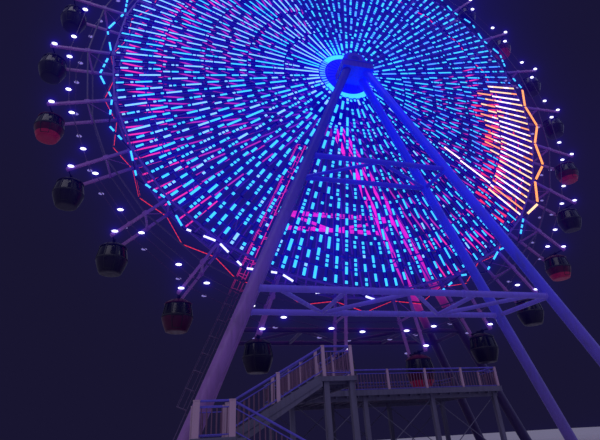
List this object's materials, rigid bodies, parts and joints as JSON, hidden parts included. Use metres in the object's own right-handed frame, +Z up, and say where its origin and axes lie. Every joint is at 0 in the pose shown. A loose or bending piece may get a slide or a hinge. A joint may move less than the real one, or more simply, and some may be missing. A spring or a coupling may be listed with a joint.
{
  "type": "ferris wheel scale model",
  "caption": "Ferris wheel model with round cabins that hang level, a two-sided spoked wheel, and splayed tubular towers over a boarding deck.",
  "frame": {"origin": "on the ground at the middle of the whole plan; the hub is 0.632 m behind it", "axes": "+X to the right seen from the front, +Y back along the axle, +Z up"},
  "size_m": [21.6638, 9.2362, 23.71],
  "materials": {
    "hub_paint": "satin blue",
    "wheel_paint": "satin blue",
    "tower_paint": "satin violet",
    "bearing_paint": "satin violet",
    "red_cabin_paint": "gloss red",
    "dark_cabin_paint": "gloss dark",
    "galvanised_steel": "dull",
    "deck_steel": "satin grey",
    "rail_paint": "satin white",
    "concrete": "matt"
  },
  "bodies": {
    "towers": {"leg_front_left_outer": "tower_paint", "pier_front_left_outer": "concrete", "leg_front_left_inner": "tower_paint", "pier_front_left_inner": "concrete", "leg_front_right_outer": "tower_paint", "pier_front_right_outer": "concrete", "leg_front_right_inner": "tower_paint", "pier_front_right_inner": "concrete", "front_upper_brace": "tower_paint", "front_lower_brace": "tower_paint", "front_leg_head": "tower_paint", "front_bearing_housing": "bearing_paint", "leg_rear_left_outer": "tower_paint", "pier_rear_left_outer": "concrete", "leg_rear_left_inner": "tower_paint", "pier_rear_left_inner": "concrete", "leg_rear_right_outer": "tower_paint", "pier_rear_right_outer": "concrete", "leg_rear_right_inner": "tower_paint", "pier_rear_right_inner": "concrete", "rear_upper_brace": "tower_paint", "rear_lower_brace": "tower_paint", "rear_leg_head": "tower_paint", "rear_bearing_housing": "bearing_paint", "access_ladder": "galvanised_steel", "boarding_deck": "deck_steel", "stair_landing": "deck_steel", "lower_stair": "deck_steel", "upper_stair": "deck_steel", "outer_railing": "rail_paint", "inner_railing": "rail_paint"},
    "wheel": {"wheel_hub": "hub_paint", "wheel_front_side": "wheel_paint", "wheel_rear_side": "wheel_paint"},
    "cabin_01": {"cabin_01": "dark_cabin_paint"},
    "cabin_02": {"cabin_02": "dark_cabin_paint"},
    "cabin_03": {"cabin_03": "red_cabin_paint"},
    "cabin_04": {"cabin_04": "dark_cabin_paint"},
    "cabin_05": {"cabin_05": "dark_cabin_paint"},
    "cabin_06": {"cabin_06": "red_cabin_paint"},
    "cabin_07": {"cabin_07": "dark_cabin_paint"},
    "cabin_08": {"cabin_08": "dark_cabin_paint"},
    "cabin_09": {"cabin_09": "red_cabin_paint"},
    "cabin_10": {"cabin_10": "dark_cabin_paint"},
    "cabin_11": {"cabin_11": "dark_cabin_paint"},
    "cabin_12": {"cabin_12": "red_cabin_paint"},
    "cabin_13": {"cabin_13": "dark_cabin_paint"},
    "cabin_14": {"cabin_14": "red_cabin_paint"},
    "cabin_15": {"cabin_15": "dark_cabin_paint"},
    "cabin_16": {"cabin_16": "dark_cabin_paint"},
    "cabin_17": {"cabin_17": "red_cabin_paint"},
    "cabin_18": {"cabin_18": "dark_cabin_paint"},
    "cabin_19": {"cabin_19": "dark_cabin_paint"},
    "cabin_20": {"cabin_20": "red_cabin_paint"},
    "cabin_21": {"cabin_21": "dark_cabin_paint"},
    "cabin_22": {"cabin_22": "red_cabin_paint"},
    "cabin_23": {"cabin_23": "dark_cabin_paint"},
    "cabin_24": {"cabin_24": "dark_cabin_paint"},
    "cabin_25": {"cabin_25": "red_cabin_paint"},
    "cabin_26": {"cabin_26": "dark_cabin_paint"}
  },
  "joints": [
    {"name": "wheel_spin", "type": "hinge", "parent": "towers", "child": "wheel", "pos_m": [0, 0.63193, 13.3], "axis": [0, 1, 0], "continuous": true},
    {"name": "cabin_01_level", "type": "hinge", "parent": "wheel", "child": "cabin_01", "pos_m": [-10.15544, 0.63193, 15.54211], "axis": [0, 1, 0], "continuous": true},
    {"name": "cabin_02_level", "type": "hinge", "parent": "wheel", "child": "cabin_02", "pos_m": [-10.39691, 0.63193, 13.0466], "axis": [0, 1, 0], "continuous": true},
    {"name": "cabin_03_level", "type": "hinge", "parent": "wheel", "child": "cabin_03", "pos_m": [-10.03416, 0.63193, 10.56582], "axis": [0, 1, 0], "continuous": true},
    {"name": "cabin_04_level", "type": "hinge", "parent": "wheel", "child": "cabin_04", "pos_m": [-9.08825, 0.63193, 8.24394], "axis": [0, 1, 0], "continuous": true},
    {"name": "cabin_05_level", "type": "hinge", "parent": "wheel", "child": "cabin_05", "pos_m": [-7.61417, 0.63193, 6.2159], "axis": [0, 1, 0], "continuous": true},
    {"name": "cabin_06_level", "type": "hinge", "parent": "wheel", "child": "cabin_06", "pos_m": [-5.69758, 0.63193, 4.59956], "axis": [0, 1, 0], "continuous": true},
    {"name": "cabin_07_level", "type": "hinge", "parent": "wheel", "child": "cabin_07", "pos_m": [-3.44987, 0.63193, 3.48886], "axis": [0, 1, 0], "continuous": true},
    {"name": "cabin_08_level", "type": "hinge", "parent": "wheel", "child": "cabin_08", "pos_m": [-1.00166, 0.63193, 2.94835], "axis": [0, 1, 0], "continuous": true},
    {"name": "cabin_09_level", "type": "hinge", "parent": "wheel", "child": "cabin_09", "pos_m": [1.50476, 0.63193, 3.00944], "axis": [0, 1, 0], "continuous": true},
    {"name": "cabin_10_level", "type": "hinge", "parent": "wheel", "child": "cabin_10", "pos_m": [3.92373, 0.63193, 3.66857], "axis": [0, 1, 0], "continuous": true},
    {"name": "cabin_11_level", "type": "hinge", "parent": "wheel", "child": "cabin_11", "pos_m": [6.11466, 0.63193, 4.88745], "axis": [0, 1, 0], "continuous": true},
    {"name": "cabin_12_level", "type": "hinge", "parent": "wheel", "child": "cabin_12", "pos_m": [7.95023, 0.63193, 6.59524], "axis": [0, 1, 0], "continuous": true},
    {"name": "cabin_13_level", "type": "hinge", "parent": "wheel", "child": "cabin_13", "pos_m": [9.32377, 0.63193, 8.69269], "axis": [0, 1, 0], "continuous": true},
    {"name": "cabin_14_level", "type": "hinge", "parent": "wheel", "child": "cabin_14", "pos_m": [10.15544, 0.63193, 11.05789], "axis": [0, 1, 0], "continuous": true},
    {"name": "cabin_15_level", "type": "hinge", "parent": "wheel", "child": "cabin_15", "pos_m": [10.39691, 0.63193, 13.5534], "axis": [0, 1, 0], "continuous": true},
    {"name": "cabin_16_level", "type": "hinge", "parent": "wheel", "child": "cabin_16", "pos_m": [10.03416, 0.63193, 16.03418], "axis": [0, 1, 0], "continuous": true},
    {"name": "cabin_17_level", "type": "hinge", "parent": "wheel", "child": "cabin_17", "pos_m": [9.08825, 0.63193, 18.35606], "axis": [0, 1, 0], "continuous": true},
    {"name": "cabin_18_level", "type": "hinge", "parent": "wheel", "child": "cabin_18", "pos_m": [7.61417, 0.63193, 20.3841], "axis": [0, 1, 0], "continuous": true},
    {"name": "cabin_19_level", "type": "hinge", "parent": "wheel", "child": "cabin_19", "pos_m": [5.69758, 0.63193, 22.00044], "axis": [0, 1, 0], "continuous": true},
    {"name": "cabin_20_level", "type": "hinge", "parent": "wheel", "child": "cabin_20", "pos_m": [3.44987, 0.63193, 23.11114], "axis": [0, 1, 0], "continuous": true},
    {"name": "cabin_21_level", "type": "hinge", "parent": "wheel", "child": "cabin_21", "pos_m": [1.00166, 0.63193, 23.65165], "axis": [0, 1, 0], "continuous": true},
    {"name": "cabin_22_level", "type": "hinge", "parent": "wheel", "child": "cabin_22", "pos_m": [-1.50476, 0.63193, 23.59056], "axis": [0, 1, 0], "continuous": true},
    {"name": "cabin_23_level", "type": "hinge", "parent": "wheel", "child": "cabin_23", "pos_m": [-3.92373, 0.63193, 22.93143], "axis": [0, 1, 0], "continuous": true},
    {"name": "cabin_24_level", "type": "hinge", "parent": "wheel", "child": "cabin_24", "pos_m": [-6.11466, 0.63193, 21.71255], "axis": [0, 1, 0], "continuous": true},
    {"name": "cabin_25_level", "type": "hinge", "parent": "wheel", "child": "cabin_25", "pos_m": [-7.95023, 0.63193, 20.00476], "axis": [0, 1, 0], "continuous": true},
    {"name": "cabin_26_level", "type": "hinge", "parent": "wheel", "child": "cabin_26", "pos_m": [-9.32377, 0.63193, 17.90731], "axis": [0, 1, 0], "continuous": true}
  ],
  "couplings": [
    {"joint": "cabin_01_level", "follows": "wheel_spin", "ratio": -1},
    {"joint": "cabin_02_level", "follows": "wheel_spin", "ratio": -1},
    {"joint": "cabin_03_level", "follows": "wheel_spin", "ratio": -1},
    {"joint": "cabin_04_level", "follows": "wheel_spin", "ratio": -1},
    {"joint": "cabin_05_level", "follows": "wheel_spin", "ratio": -1},
    {"joint": "cabin_06_level", "follows": "wheel_spin", "ratio": -1},
    {"joint": "cabin_07_level", "follows": "wheel_spin", "ratio": -1},
    {"joint": "cabin_08_level", "follows": "wheel_spin", "ratio": -1},
    {"joint": "cabin_09_level", "follows": "wheel_spin", "ratio": -1},
    {"joint": "cabin_10_level", "follows": "wheel_spin", "ratio": -1},
    {"joint": "cabin_11_level", "follows": "wheel_spin", "ratio": -1},
    {"joint": "cabin_12_level", "follows": "wheel_spin", "ratio": -1},
    {"joint": "cabin_13_level", "follows": "wheel_spin", "ratio": -1},
    {"joint": "cabin_14_level", "follows": "wheel_spin", "ratio": -1},
    {"joint": "cabin_15_level", "follows": "wheel_spin", "ratio": -1},
    {"joint": "cabin_16_level", "follows": "wheel_spin", "ratio": -1},
    {"joint": "cabin_17_level", "follows": "wheel_spin", "ratio": -1},
    {"joint": "cabin_18_level", "follows": "wheel_spin", "ratio": -1},
    {"joint": "cabin_19_level", "follows": "wheel_spin", "ratio": -1},
    {"joint": "cabin_20_level", "follows": "wheel_spin", "ratio": -1},
    {"joint": "cabin_21_level", "follows": "wheel_spin", "ratio": -1},
    {"joint": "cabin_22_level", "follows": "wheel_spin", "ratio": -1},
    {"joint": "cabin_23_level", "follows": "wheel_spin", "ratio": -1},
    {"joint": "cabin_24_level", "follows": "wheel_spin", "ratio": -1},
    {"joint": "cabin_25_level", "follows": "wheel_spin", "ratio": -1},
    {"joint": "cabin_26_level", "follows": "wheel_spin", "ratio": -1}
  ]
}
